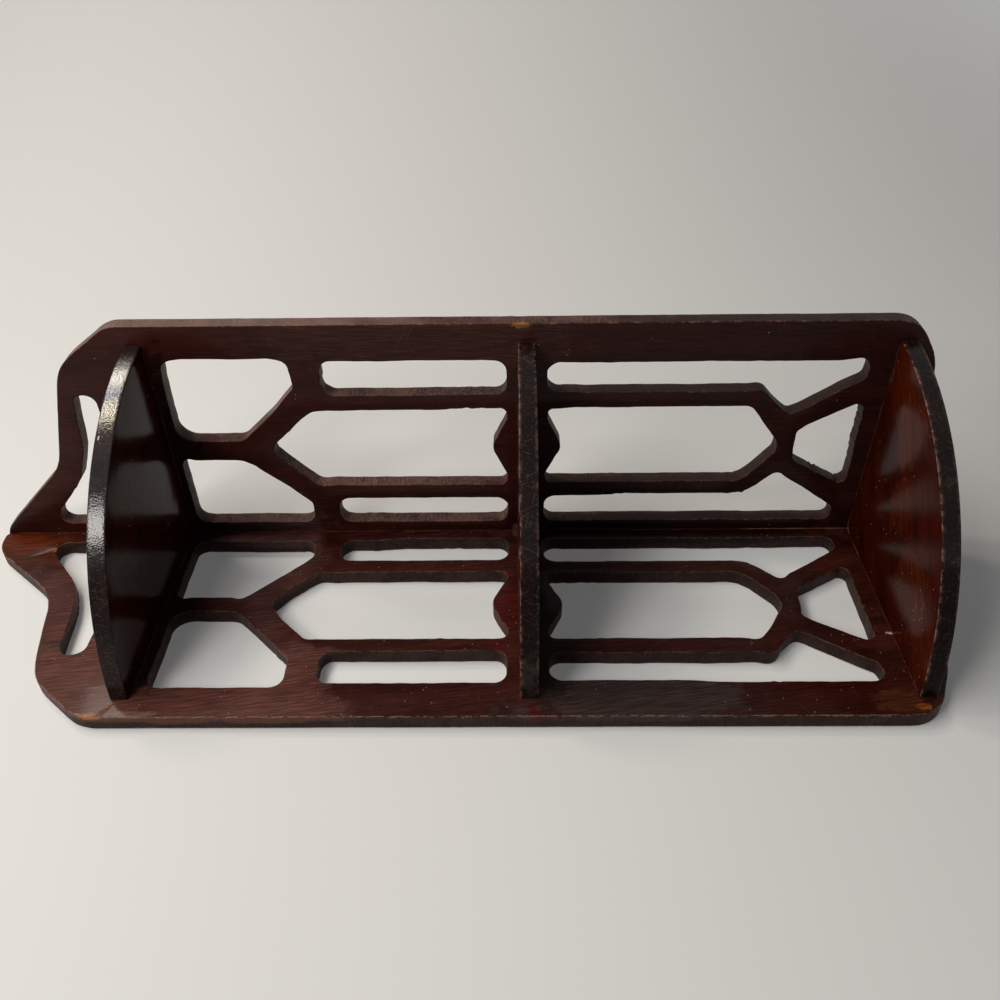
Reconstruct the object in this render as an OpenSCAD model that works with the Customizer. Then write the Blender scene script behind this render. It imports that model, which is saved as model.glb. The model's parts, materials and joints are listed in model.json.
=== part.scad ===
// Corner wall shelf with two fretwork side panels and three bow-fronted shelves.
// All sizes are in millimetres. The room's corner line is the Z axis: the right
// panel's back lies on the plane Y = 0 and the left panel's back on the plane X = 0.
// The panels' feet are at Z = 0 and the room is towards +X and -Y.

/* [Boards] */
// Thickness of the two side panels
panel_t = 10; // [8:0.5:14]
// Thickness of the three shelves
shelf_t = 10.5; // [8:0.5:16]
// Width of a side panel's inner face, from the corner line to its front edge
panel_w = 161; // [152:1:185]

/* [Heights] */
// Feet of the panels to the underside of the bottom shelf
foot_drop = 16; // [12:1:30]
// Clear height between the bottom and middle shelves
lower_bay = 218; // [190:1:260]
// Clear height between the middle and top shelves
upper_bay = 227; // [200:1:270]
// Upper face of the top shelf to the top of the crest
crest_rise = 121.5; // [116:0.5:140]

/* [Shelves] */
// Set-back of a shelf's ends from the panels' front edges
shelf_inset = 13; // [6:1:30]
// Radius of a shelf's bowed front edge
bow_r = 159; // [148:1:220]

/* [Fretwork] */
// Width of the stile beside the corner line
spine_stile = 8.5; // [6:0.5:12]
// Width of the stile beside the front edge
front_stile = 25; // [18:0.5:30]
// Width of the front stile beside the head openings
head_stile = 22; // [16:0.5:30]
// Width of the slots next to the corner line
spine_slot = 22; // [14:0.5:26]
// Width of the slots next to the front edge
front_slot = 24.5; // [14:0.5:28]
// Width of the bars between a slot and the middle opening
bar = 10; // [7:0.5:13]
// Wood left between an opening and the shelf above or below it
shelf_lip = 7; // [5:0.5:12]
// Width of the blunt boss on the middle rail, where it leaves the rail's edges
boss_w = 44; // [36:1:50]
// How far the boss's points would stand beyond the rail's edges if they were sharp
boss_h = 10.5; // [8:0.5:13]

/* [Upper field] */
// Height of the two head openings
head_h = 80; // [70:1:90]
// Height of the bar between the head openings and the slots
cross_bar = 18; // [10:0.5:24]
// Width of the post between the head openings
head_post = 12.5; // [8:0.5:18]
// Width of the diagonal struts under the head openings
strut = 16; // [8:0.5:18]
// Rise of the middle opening's shoulders above the ends of the slots
roof_spring = 10.5; // [4:0.5:14]

/* [Lower field] */
// Level of the openings' points above the bottom shelf
knot_h = 57; // [52:0.5:66]
// Depth of the point at the foot of the middle opening
point_drop = 24.5; // [16:0.5:30]
// Drop of the slots' shoulders below the middle opening's shoulders
shoulder_step = 5; // [0:0.5:10]
// Distance of the slots' points from the middle line of the fretwork
point_reach = 21.5; // [19:0.5:25]
// Width of the front slot at its foot
front_foot = 15.5; // [10:0.5:18]
// Width of the spine slot at its foot
spine_foot = 11.5; // [9:0.5:16]
// Wood left between the slots' feet and the bottom shelf
slot_lip = 14.5; // [6:0.5:20]
// Wood left between the triangle and the bottom shelf
triangle_lip = 10; // [5:0.5:12]
// Height of the triangle
triangle_h = 41; // [34:0.5:42]
// Width of the triangle at its foot
triangle_w = 71; // [60:0.5:76]
// Lean of the triangle's sides away from upright, in degrees
triangle_lean = 30; // [24:1:34]

/* [Crest] */
// Width of the crest's flat top, from a panel's spine edge
peak_w = 14.5; // [8:0.5:20]
// Height of the crest's saddle above the top shelf
saddle_h = 67.5; // [62:0.5:76]
// Distance of the saddle from the corner line
saddle_u = 59; // [52:0.5:66]
// Height of the crest's shoulder above the top shelf
shoulder_h = 48.5; // [46:0.5:56]
// Set-back of the shoulder from the front edge
shoulder_in = 28; // [22:0.5:34]
// Height of the crest's outer corner above the top shelf
crest_side_h = 12; // [5:0.5:20]
// How far the left crest's shoulder stands above, and the right one's below, that height
crest_skew = 3.5; // [0:0.5:4]
// Wood between the crest opening and the saddle
crest_rim = 19.5; // [14:0.5:24]
// Wood between the crest opening and the top shelf
crest_rail = 28; // [22:0.5:32]
// Height of the rounded lobe at the crest opening's front end
lobe_h = 14; // [10:0.5:16]
// Set-back of the lobe from the front edge
lobe_in = 48; // [44:0.5:56]
// Height of the crest opening's nose above the top shelf
nose_h = 80; // [74:0.5:86]
// Width of the nose's flat top
nose_w = 13; // [10:0.5:16]

/* [Feet] */
// Width of the rounded-off outer corner at a panel's foot
foot_corner_w = 33.5; // [24:0.5:44]
// Height of the rounded-off outer corner at a panel's foot
foot_corner_h = 18.5; // [12:0.5:26]

/* [Fixings] */
// Diameter of the wood screws' shanks
screw_d = 3.5; // [3:0.1:4]
// Diameter of the wood screws' flat heads
head_d = 6.8; // [6:0.1:8]
// Length of the wood screws
screw_l = 30; // [24:1:34]
// Clearance round a screw where it passes through a panel
screw_gap = 0.25; // [0.1:0.05:0.5]
// Distance of the first shelf screw from the corner line
screw_u = 34; // [28:1:45]
// Distance between the two screws at a shelf's end
screw_pitch = 76; // [60:1:90]
// Diameter of a keyhole slot's entry, for a wall screw's head
keyhole_d = 9; // [8:0.5:11]
// Width of a keyhole slot's neck, for a wall screw's shank
keyhole_neck = 4.5; // [4:0.25:5.5]
// Lift of a keyhole slot's neck above its entry
keyhole_rise = 10; // [8:0.5:12]
// Height of a keyhole slot's entry above the top shelf
keyhole_h = 6.5; // [5:0.5:8]

/* [Hidden] */

mahogany = [0.29, 0.11, 0.08];
shelf_wood = [0.34, 0.13, 0.09];
screw_steel = [0.55, 0.53, 0.50];

// Levels along the spine
bottom_face = foot_drop + shelf_t;
middle_under = bottom_face + lower_bay;
middle_face = middle_under + shelf_t;
top_under = middle_face + upper_bay;
top_face = top_under + shelf_t;
panel_h = top_face + crest_rise;
shelf_levels = [foot_drop, middle_under, top_under];

// Shelf plan: the bow is centred on the diagonal behind the corner
shelf_w = panel_w - shelf_inset;
bow_c = (shelf_w - sqrt(2 * bow_r * bow_r - shelf_w * shelf_w)) / 2;

// Columns of the fretwork, measured from the corner line
spine_slot_u = spine_stile + spine_slot;
middle_u0 = spine_slot_u + bar;
front_slot_u = panel_w - front_stile - front_slot;
middle_u1 = front_slot_u - bar;
front_slot_end = panel_w - front_stile;
axis_u = (middle_u0 + middle_u1) / 2;

// Rows of the fretwork's upper field
field_foot = middle_face + shelf_lip;
head_top = top_under - shelf_lip;
head_foot = head_top - head_h;
slot_top = head_foot - cross_bar;
roof_foot = slot_top + roof_spring;
roof_h = (middle_u1 - middle_u0) / 2;
strut_h = strut * sqrt(2);

// Rows of the fretwork's lower field
lower_top = middle_under - shelf_lip;
rail_z = (lower_top + field_foot) / 2;
knot_z = bottom_face + knot_h;
point_shoulder = knot_z + point_drop;
slot_shoulder = point_shoulder - shoulder_step;
slot_foot = bottom_face + slot_lip;
triangle_foot = bottom_face + triangle_lip;
triangle_top_w = triangle_w - 2 * triangle_h * tan(triangle_lean);

// Radii of the sawn corners, from the tightest turns to the sweeps of the crest
tight_r = 5;
slot_r = 8;
soft_r = 12;
round_r = 23;
sweep_r = 45;
long_r = 60;
eased_r = 3;

// Degrees between the points of a sawn corner, and the most of a side two corners take up
arc_step = 7.5;
side_fill = 0.98;

// How far a cut runs past the face that it leaves
over = 1;

// Screws: countersunk heads sink flush into the panels' backs
head_h_screw = (head_d - screw_d) / 2;
slot_w_screw = 0.9;
slot_depth_screw = 1;
point_l_screw = 4;
tip_d_screw = 0.4;
pilot_gap = 0.05;
shelf_screw_us = [screw_u, screw_u + screw_pitch];

// Spine screws enter the left panel's edge only where the fretwork leaves a rail
spine_screw_zs = [foot_drop, rail_z, slot_top + cross_bar / 2, top_face + crest_rail / 3,
                  top_face + (nose_h + crest_rise) / 2];

// Keyhole slots: the undercut lies between the back's lip and the slot's bottom
keyhole_depth = panel_t * 0.6;
keyhole_lip = panel_t * 0.25;

function unit(v) = v / norm(v);

// Half the angle at the corner c between the sides to a and b
function half_angle(a, c, b) = acos(unit(a - c) * unit(b - c)) / 2;

// Points of the arc that rounds the corner c, starting reach away from it on each side
function rounded_corner(a, c, b, reach) =
    let (to_a = unit(a - c),
         to_b = unit(b - c),
         half = half_angle(a, c, b),
         centre = c + unit(to_a + to_b) * reach / cos(half),
         from = c + to_a * reach - centre,
         to = c + to_b * reach - centre,
         turn = 180 - 2 * half,
         steps = max(1, ceil(turn / arc_step)))
    [for (i = [0 : steps])
        centre + (from * sin(turn * (1 - i / steps)) + to * sin(turn * i / steps)) / sin(turn)];

// Outline through a list of corners, each written as [across, up, radius]. Where two
// roundings would not fit on the side between them, both shrink in the same proportion.
function rounded_outline(corners) =
    let (n = len(corners),
         at = [for (c = corners) [c[0], c[1]]],
         wanted = [for (i = [0 : n - 1])
             corners[i][2] / tan(half_angle(at[(i + n - 1) % n], at[i], at[(i + 1) % n]))],
         share = [for (i = [0 : n - 1])
             min(1, side_fill * norm(at[(i + 1) % n] - at[i]) / (wanted[i] + wanted[(i + 1) % n]))])
    [for (i = [0 : n - 1])
        each rounded_corner(at[(i + n - 1) % n], at[i], at[(i + 1) % n],
                            wanted[i] * min(share[i], share[(i + n - 1) % n]))];

module rounded_shape(corners) {
    polygon(rounded_outline(corners));
}

module mirror_on_axis() {
    translate([2 * axis_u, 0]) mirror([1, 0]) children();
}

// Blunt boss that stands into the middle openings above and below the middle rail
module boss() {
    reach = field_foot + boss_h - rail_z;
    half_w = reach * boss_w / 2 / boss_h;
    rounded_shape([[axis_u - half_w, rail_z, eased_r],
                   [axis_u, rail_z + reach, soft_r],
                   [axis_u + half_w, rail_z, eased_r],
                   [axis_u, rail_z - reach, soft_r]]);
}

// Upper field: two slots, the middle opening with its roof, and the two head openings
module upper_field() {
    rounded_shape([[spine_stile, field_foot, slot_r],
                   [spine_slot_u, field_foot, slot_r],
                   [spine_slot_u, slot_top, slot_r],
                   [spine_stile, slot_top, slot_r]]);
    rounded_shape([[front_slot_u, field_foot, slot_r],
                   [front_slot_end, field_foot, slot_r],
                   [front_slot_end, slot_top, slot_r],
                   [front_slot_u, slot_top, slot_r]]);
    difference() {
        rounded_shape([[middle_u1, field_foot, tight_r],
                       [middle_u1, roof_foot, slot_r],
                       [axis_u, roof_foot + roof_h, slot_r],
                       [middle_u0, roof_foot, slot_r],
                       [middle_u0, field_foot, tight_r]]);
        boss();
    }
    head_opening(panel_w - head_stile, soft_r, slot_r);
    mirror_on_axis() head_opening(2 * axis_u - spine_stile, tight_r, slot_r);
}

// Head opening in front of the post: far_u is its upright side away from the post
module head_opening(far_u, post_r, far_r) {
    post_u = axis_u + head_post / 2;
    cut = middle_u1 + roof_foot + strut_h;
    rounded_shape([[post_u, head_top, post_r],
                   [post_u, cut - post_u, post_r],
                   [cut - head_foot, head_foot, tight_r],
                   [far_u, head_foot, far_r],
                   [far_u, head_top, far_r]]);
}

// Lower field: two slots with points, the middle opening and the triangle
module lower_field() {
    rounded_shape([[spine_stile, lower_top, slot_r],
                   [spine_slot_u, lower_top, slot_r],
                   [spine_slot_u, slot_shoulder, slot_r],
                   [axis_u - point_reach, knot_z, tight_r],
                   [spine_stile + spine_foot, slot_foot, tight_r],
                   [spine_stile, slot_foot, tight_r]]);
    rounded_shape([[front_slot_end, lower_top, slot_r],
                   [front_slot_u, lower_top, slot_r],
                   [front_slot_u, slot_shoulder, slot_r],
                   [axis_u + point_reach, knot_z, tight_r],
                   [front_slot_end - front_foot, slot_foot, tight_r],
                   [front_slot_end, slot_foot, slot_r]]);
    difference() {
        rounded_shape([[middle_u0, lower_top, tight_r],
                       [middle_u0, point_shoulder, slot_r],
                       [axis_u, knot_z, soft_r],
                       [middle_u1, point_shoulder, slot_r],
                       [middle_u1, lower_top, tight_r]]);
        boss();
    }
    rounded_shape([[axis_u - triangle_w / 2, triangle_foot, tight_r],
                   [axis_u - triangle_top_w / 2, triangle_foot + triangle_h, tight_r],
                   [axis_u + triangle_top_w / 2, triangle_foot + triangle_h, tight_r],
                   [axis_u + triangle_w / 2, triangle_foot, tight_r]]);
}

// Crest opening: a nose by the corner line that runs out to a rounded lobe
module crest_opening() {
    lobe_u = panel_w - lobe_in;
    rounded_shape([[spine_stile, top_face + crest_rail, tight_r],
                   [spine_stile, top_face + nose_h, slot_r],
                   [spine_stile + nose_w, top_face + nose_h, slot_r],
                   [saddle_u, top_face + saddle_h - crest_rim, long_r],
                   [lobe_u, top_face + crest_rail + lobe_h, slot_r],
                   [lobe_u, top_face + crest_rail, slot_r]]);
}

// Panel outline; edge_u is where the board begins, behind or at the corner line, and lift
// is how far this hand-sawn panel's shoulder and foot corner differ from the middle of the two
module panel_outline(edge_u, lift) {
    shift = lift * 2 / 3;
    rounded_shape([[edge_u, 0, eased_r],
                   [panel_w - foot_corner_w - lift * 3 / 2, 0, sweep_r],
                   [panel_w, foot_corner_h, round_r],
                   [panel_w, top_face + crest_side_h + shift, round_r],
                   [panel_w - shoulder_in - shift, top_face + shoulder_h + lift, sweep_r],
                   [saddle_u + shift, top_face + saddle_h, sweep_r],
                   [edge_u + peak_w + shift, panel_h, round_r],
                   [edge_u, panel_h, eased_r]]);
}

// A wood screw along +Z with its head's flat face at the origin's level, pointing down
module wood_screw() {
    difference() {
        union() {
            translate([0, 0, -head_h_screw])
                cylinder(h = head_h_screw, d1 = screw_d, d2 = head_d, $fn = 48);
            translate([0, 0, point_l_screw - screw_l])
                cylinder(h = screw_l - point_l_screw - head_h_screw, d = screw_d, $fn = 48);
            translate([0, 0, -screw_l])
                cylinder(h = point_l_screw, d1 = tip_d_screw, d2 = screw_d, $fn = 48);
        }
        translate([-head_d, -slot_w_screw / 2, -slot_depth_screw])
            cube([2 * head_d, slot_w_screw, 2 * slot_depth_screw]);
    }
}

// Clearance hole and countersink for one screw, open at the origin's level
module screw_hole(depth) {
    translate([0, 0, -depth])
        cylinder(h = depth + over, d = screw_d + 2 * screw_gap, $fn = 48);
    translate([0, 0, -head_h_screw - screw_gap])
        cylinder(h = head_h_screw + screw_gap, d1 = screw_d, d2 = head_d + 2 * screw_gap, $fn = 48);
}

// Pilot hole that a screw's shank fills, from the origin's level down
module pilot_hole(depth) {
    translate([0, 0, -depth])
        cylinder(h = depth + over, d = screw_d + 2 * pilot_gap, $fn = 48);
}

// Turns a screw so that it enters the right panel's back at X = x, heading -Y
module from_right_wall(x, z) {
    translate([x, 0, z]) rotate([-90, 0, 0]) children();
}

// Puts what is built on the right wall onto the left wall
module on_left_wall() {
    mirror([1, 1, 0]) children();
}

module shelf_screw_places() {
    for (level = shelf_levels, u = shelf_screw_us)
        from_right_wall(panel_t + u, level + shelf_t / 2) children();
}

module spine_screw_places() {
    for (z = spine_screw_zs) from_right_wall(panel_t / 2, z) children();
}

// Keyhole slot in a panel's back: an entry for the wall screw's head, a neck above it
// for the shank, and an undercut behind the neck for the head to rest in
module keyhole() {
    entry_z = top_face + keyhole_h;
    from_right_wall(panel_t + axis_u, entry_z) {
        translate([0, 0, -keyhole_depth]) cylinder(h = keyhole_depth + over, d = keyhole_d, $fn = 48);
        translate([0, 0, -keyhole_depth]) keyhole_run(keyhole_neck, keyhole_depth + over);
        translate([0, 0, -keyhole_depth]) keyhole_run(keyhole_d, keyhole_depth - keyhole_lip);
    }
}

// Slot of the given width that runs from a keyhole's entry up to its neck's end
module keyhole_run(width, depth) {
    linear_extrude(depth) {
        translate([0, -keyhole_rise]) circle(d = width, $fn = 48);
        translate([-width / 2, -keyhole_rise]) square([width, keyhole_rise]);
    }
}

// One fretwork panel on the right wall; see panel_outline for edge_u and lift
module fret_panel(edge_u, lift) {
    difference() {
        translate([panel_t, 0, 0]) rotate([90, 0, 0]) linear_extrude(panel_t) difference() {
            panel_outline(edge_u, lift);
            upper_field();
            lower_field();
            crest_opening();
        }
        shelf_screw_places() screw_hole(panel_t + over);
        keyhole();
    }
}

// A shelf with its underside at z: square in the corner, bowed in front
module shelf(z) {
    difference() {
        translate([panel_t, -panel_t, z]) linear_extrude(shelf_t) intersection() {
            translate([0, -shelf_w]) square(shelf_w);
            translate([bow_c, -bow_c]) circle(r = bow_r, $fn = 180);
        }
        shelf_screw_places() pilot_hole(screw_l);
        on_left_wall() shelf_screw_places() pilot_hole(screw_l);
    }
}

// The right panel laps over the left panel's spine edge
module right_panel() {
    color(mahogany) difference() {
        fret_panel(-panel_t, -crest_skew);
        spine_screw_places() screw_hole(panel_t + over);
    }
}

module left_panel() {
    color(mahogany) difference() {
        on_left_wall() fret_panel(0, crest_skew);
        spine_screw_places() pilot_hole(screw_l);
    }
}

module top_shelf() {
    color(shelf_wood) shelf(top_under);
}

module middle_shelf() {
    color(shelf_wood) shelf(middle_under);
}

module bottom_shelf() {
    color(shelf_wood) shelf(foot_drop);
}

module left_shelf_screws() {
    color(screw_steel) on_left_wall() shelf_screw_places() wood_screw();
}

module right_shelf_screws() {
    color(screw_steel) shelf_screw_places() wood_screw();
}

module spine_screws() {
    color(screw_steel) spine_screw_places() wood_screw();
}

left_panel();
right_panel();
top_shelf();
middle_shelf();
bottom_shelf();
left_shelf_screws();
right_shelf_screws();
spine_screws();
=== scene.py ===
"""Looks of the mahogany corner shelf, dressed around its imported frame. Lengths are in metres."""
import json
import math
import bpy
import bmesh
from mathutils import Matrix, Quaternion, Vector, noise

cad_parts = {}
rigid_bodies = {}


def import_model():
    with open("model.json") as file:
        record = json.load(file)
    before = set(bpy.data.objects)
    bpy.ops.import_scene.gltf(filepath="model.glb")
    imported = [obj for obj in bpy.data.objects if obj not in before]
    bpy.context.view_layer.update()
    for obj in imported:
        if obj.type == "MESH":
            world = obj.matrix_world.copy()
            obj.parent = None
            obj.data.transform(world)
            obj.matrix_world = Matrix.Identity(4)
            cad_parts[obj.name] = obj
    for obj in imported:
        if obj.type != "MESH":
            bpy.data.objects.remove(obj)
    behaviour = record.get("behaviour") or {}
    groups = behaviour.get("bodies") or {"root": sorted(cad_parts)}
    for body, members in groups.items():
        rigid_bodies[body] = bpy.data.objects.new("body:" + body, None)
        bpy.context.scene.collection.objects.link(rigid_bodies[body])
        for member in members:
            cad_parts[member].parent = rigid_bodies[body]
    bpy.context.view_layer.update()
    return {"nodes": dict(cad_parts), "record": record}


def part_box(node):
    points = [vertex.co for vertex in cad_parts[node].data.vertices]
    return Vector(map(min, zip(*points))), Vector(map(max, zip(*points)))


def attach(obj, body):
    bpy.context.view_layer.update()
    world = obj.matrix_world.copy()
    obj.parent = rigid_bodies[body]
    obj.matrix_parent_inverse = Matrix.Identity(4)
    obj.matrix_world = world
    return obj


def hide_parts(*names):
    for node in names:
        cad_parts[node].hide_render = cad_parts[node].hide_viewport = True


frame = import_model()
nodes = frame["nodes"]

MM = 0.001
ACROSS_X, ACROSS_Y, ACROSS_Z = 0, 1, 2

# The panels' backs, which lie on the walls, and their inner faces
WALL_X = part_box("left_panel")[0].x
WALL_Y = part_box("right_panel")[1].y
INNER_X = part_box("left_panel")[1].x
INNER_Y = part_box("right_panel")[0].y
SHELF_BOXES = {level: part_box(level + "_shelf") for level in ("top", "middle", "bottom")}

# Points of the frame this near each other are one, and this near a level they lie in it
SAME_POINT = 0.01 * MM
SAME_LEVEL = 0.02 * MM

# Greatest distance between points on a sawn outline, on panels and on shelves
PANEL_STEP = 1.5 * MM
SHELF_STEP = 2 * MM

# Least cosine of a mitre, so that the points at sharp corners don't run out
MITRE_LIMIT = 0.5

# Greatest way round a drilled hole, and round a screw's hole among them
DRILLED_LOOP = 60 * MM
SCREW_LOOP = 30 * MM

# Countersinks in the backs: share of the width that is left at their floor, and depth
COUNTERSINK_SHARE, COUNTERSINK_DEPTH = 0.55, 1.9 * MM

# Keyhole slots in the backs: middles of their entries, radius of the entry, half width of the
# neck and its rise above the entry, and depths of the lip and of the undercut behind it
KEYHOLES = [Vector(m["pos_m"]) for m in frame["record"]["mounts"] if "keyhole" in m["name"]]
KEYHOLE_ENTRY, KEYHOLE_NECK, KEYHOLE_RISE = 4.5 * MM, 2.25 * MM, 10 * MM
KEYHOLE_LIP, KEYHOLE_DEPTH = 2.5 * MM, 6 * MM
KEYHOLE_SLACK = 1.02

# Small wander of the fret saw: length of each kind of wave in millimetres, and its height.
# Teeth come in ragged stretches, and the wander changes slowly through the thickness.
SLOW_WAVE, SLOW_SWAY = 26, 0.45
QUICK_WAVE, QUICK_SWAY = 7, 0.25
TOOTH_WAVE, TOOTH_SWAY = 3.4, 1.6
TORN_WAVE, TORN_SWAY = 1.6, 0.8
RAGGED_STRETCH, RAGGED_ABOVE = 30, 0.16
DEPTH_SHARE = 0.25

# The outline is sawn more calmly than the openings, and sanded back
OUTLINE_CALM = 0.5
OUTLINE_SANDING = 0.05 * MM

# Where the fret saw tore the wood: middle on the board's face, and radius
TORN_PLACES = [
    (Vector((0.086, -0.010, 0.0396)), 0.022),
    (Vector((0.055, -0.010, 0.052)), 0.012),
    (Vector((0.0725, -0.010, 0.352)), 0.014),
]

# Where the fret saw left its line: both ends of the stretch in millimetres out from the corner
# and up, and the wood left beside the line, or taken where the number is below nought. A stray
# dies away over its reach beside the stretch, and over its fade beyond the ends.
STRAY_REACH = 9 * MM
STRAY_FADE = 24 * MM
LEFT_STRAYS = {
    "crest outline": [((105, 551), (134, 543), 0.8), ((147, 534), (160, 520), 1.0)],
    "crest opening": [((80, 542), (112, 536), -1.9), ((19, 530), (19, 560), 2.3)],
    "inner head opening": [((30, 475), (66, 475), -1.9), ((19, 408), (19, 462), 2.4),
                           ((45, 404), (68, 427), -1.9)],
    "upper inner slot": [((19, 355), (19, 370), 1.7), ((27, 377), (32, 377), 1.0)],
    "upper light": [((51, 270), (51, 380), 1.3), ((79, 413), (84, 413), 1.8),
                    ((68, 266), (96, 266), 0.9)],
    "upper outer slot": [((130, 377), (138, 377), 1.4), ((130, 262), (138, 262), 0.9)],
    "lower inner slot": [((41, 110), (40, 230), -1.5), ((44, 99), (53, 89), -1.4),
                         ((33, 46), (43, 60), -1.0), ((19, 85), (19, 222), 0.9)],
    "lower light": [((51, 114), (51, 230), 2.9), ((58, 102), (72, 91), 1.6),
                    ((85, 88), (87, 89), 1.2), ((104, 102), (109, 107), -1.3),
                    ((88, 231), (98, 235), 0.9)],
    "lower outer slot": [((121, 108), (122, 227), 2.1), ((108, 75), (124, 50), 2.4),
                         ((108, 89), (116, 97), 1.5), ((146, 160), (146, 232), 1.4)],
    "foot opening": [((60, 36), (104, 36), 1.4), ((99, 68), (109, 51), -1.3),
                     ((54, 50), (63, 67), 0.9), ((73, 78), (79, 78), 1.0)],
}
RIGHT_STRAYS = {
    "shoulder outline": [((156, 523), (163, 514), -0.9)],
    "crest opening": [((37, 568), (54, 556), 2.7)],
    "inner head opening": [((30, 475), (66, 475), -2.0), ((75, 440), (75, 468), 2.8),
                           ((66, 425), (71, 429), 1.2)],
    "outer head opening": [((96, 424), (108, 413), -1.3), ((149, 405), (149, 465), 0.8),
                           ((145, 396), (148, 398), 1.2), ((145, 474), (148, 472), 1.1)],
    "upper inner slot": [((40, 272), (40, 367), 1.3)],
    "upper light": [((90, 409), (107, 393), 1.4), ((112, 310), (111, 380), 1.3),
                    ((57, 394), (65, 402), -0.9)],
    "lower inner slot": [((41, 110), (41, 180), -1.3), ((45, 98), (54, 88), -1.0)],
    "lower light": [((51, 114), (51, 230), 1.8), ((89, 90), (93, 93), 1.0),
                    ((88, 230), (97, 235), 0.9), ((109, 235), (112, 231), 1.0)],
    "lower outer slot": [((121, 110), (122, 228), 1.0), ((146, 65), (146, 233), 2.0),
                         ((108, 89), (118, 99), 1.1), ((108, 75), (124, 50), 1.1),
                         ((128, 237), (134, 237), 0.8)],
    "foot opening": [((51, 45), (66, 69), 1.3), ((75, 78), (87, 78), 1.1),
                     ((90, 36), (104, 36), 1.3)],
}

# Material places on a board, and how many strips of an eased arris belong to the face
FACE, SAWN = 0, 1
ARRIS_ROWS = 2

# Turns of an eased arris from the face to the edge, in radians, each with its wear, and the rows
# of points on the edge itself as shares of the thickness
ARRIS_TURNS = ((0, 0.0), (0.3, 0.6), (0.8, 1.0), (1.3, 0.8), (math.pi / 2, 0.45))
EDGE_SHARES = (0.2, 0.4, 0.6, 0.8)
OPENING_WEAR = 0.5

# Radius of the arrises round the outline, and round the openings
PANEL_ARRIS = (0.8 * MM, 0.55 * MM)
SHELF_ARRIS = (0.75 * MM, 0.55 * MM)

# Angles over which an edge of a mesh stays sharp, on boards and on small parts
BOARD_CREASE, PART_CREASE = math.radians(38), math.radians(40)

# Chips knocked out of the arrises: centre, and half sizes along X, Y and Z, and then how deep
# and how coarse they are
CHIPS = [
    (Vector((0.0100, -0.1705, 0.5020)), Vector((0.0012, 0.0024, 0.0080))),
    (Vector((0.1705, -0.0100, 0.2535)), Vector((0.0026, 0.0012, 0.0052))),
    (Vector((0.0100, -0.0285, 0.5730)), Vector((0.0010, 0.0022, 0.0022))),
]
CHIP_BITE, CHIP_GRAIN = 0.5 * MM, 1.1 * MM


def new_object(name, data):
    """An object of the scene that holds the data."""
    made = bpy.data.objects.new(name, data)
    bpy.context.scene.collection.objects.link(made)
    return made


def object_of(name, bm):
    """An object of the scene that holds the bmesh, which is freed."""
    mesh = bpy.data.meshes.new(name)
    bm.to_mesh(mesh)
    bm.free()
    return new_object(name, mesh)


# Outlines read from the frame

def welded(node):
    """The frame's node as a bmesh without doubled points."""
    bm = bmesh.new()
    bm.from_mesh(nodes[node].data)
    bmesh.ops.remove_doubles(bm, verts=bm.verts, dist=SAME_POINT)
    return bm


def flat(point, axis):
    """The point without its place along the board's thickness."""
    return Vector([point[i] for i in range(3) if i != axis])


def stand(point, axis, level):
    """The 3-D point over a flat one, at a level along the board's thickness."""
    a, b = point
    return Vector(((level, a, b), (a, level, b), (a, b, level))[axis])


def flat_loops(node, axis, level):
    """Boundary loops of the node's flat face at that level, as ordered flat points."""
    bm = welded(node)
    uses = {}
    for face in bm.faces:
        if all(abs(v.co[axis] - level) < SAME_LEVEL for v in face.verts):
            for edge in face.edges:
                uses[edge] = uses.get(edge, 0) + 1
    beside = {}
    for edge, count in uses.items():
        if count == 1:
            a, b = edge.verts
            beside.setdefault(a, []).append(b)
            beside.setdefault(b, []).append(a)
    loops = []
    while beside:
        start = next(iter(beside))
        walked, last, here = [start], start, beside[start][0]
        while here is not start:
            walked.append(here)
            ahead = [v for v in beside[here] if v is not last]
            last, here = here, ahead[0]
        for vertex in walked:
            del beside[vertex]
        loops.append([flat(v.co, axis) for v in walked])
    bm.free()
    return loops


def pairs(ring):
    return zip(ring, ring[1:] + ring[:1])


def girth(loop):
    """The way round a loop."""
    return sum((b - a).length for a, b in pairs(loop))


def area(loop):
    """The area inside a loop, below nought where it runs clockwise."""
    return sum(a.x * b.y - b.x * a.y for a, b in pairs(loop)) / 2


def close_points(loop, step):
    """The loop with points at most a step apart."""
    points = []
    for a, b in pairs(loop):
        count = max(1, math.ceil((b - a).length / step))
        points += [a.lerp(b, i / count) for i in range(count)]
    return points


def away_from_wood(loop):
    """Mitred normals of a loop that has the wood on its left."""
    normals = []
    for i, here in enumerate(loop):
        before = (here - loop[i - 1]).normalized()
        after = (loop[(i + 1) % len(loop)] - here).normalized()
        along = (before + after).normalized()
        normals.append(Vector((along.y, -along.x)) / max(MITRE_LIMIT, along.dot(before)))
    return normals


# Boards

def saw_wander(point, depth, seed, torn):
    """How far the fret saw wandered about the drawn line at this place."""
    at = Vector((point.x, point.y, depth * DEPTH_SHARE)) / MM
    shift = Vector((seed, 0, 0))
    slow = noise.noise(at / SLOW_WAVE + shift)
    quick = noise.noise(at / QUICK_WAVE + shift)
    ragged = max(0.0, noise.noise(at / RAGGED_STRETCH - shift) - RAGGED_ABOVE)
    ragged *= noise.noise(at / TOOTH_WAVE + shift)
    for centre, radius in torn:
        if (point - centre).length < radius:
            on_face = Vector((point.x, point.y, 0))
            ragged += TORN_SWAY * noise.noise(on_face / (TORN_WAVE * MM) + shift)
    return MM * (SLOW_SWAY * slow + QUICK_SWAY * quick + TOOTH_SWAY * ragged)


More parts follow.
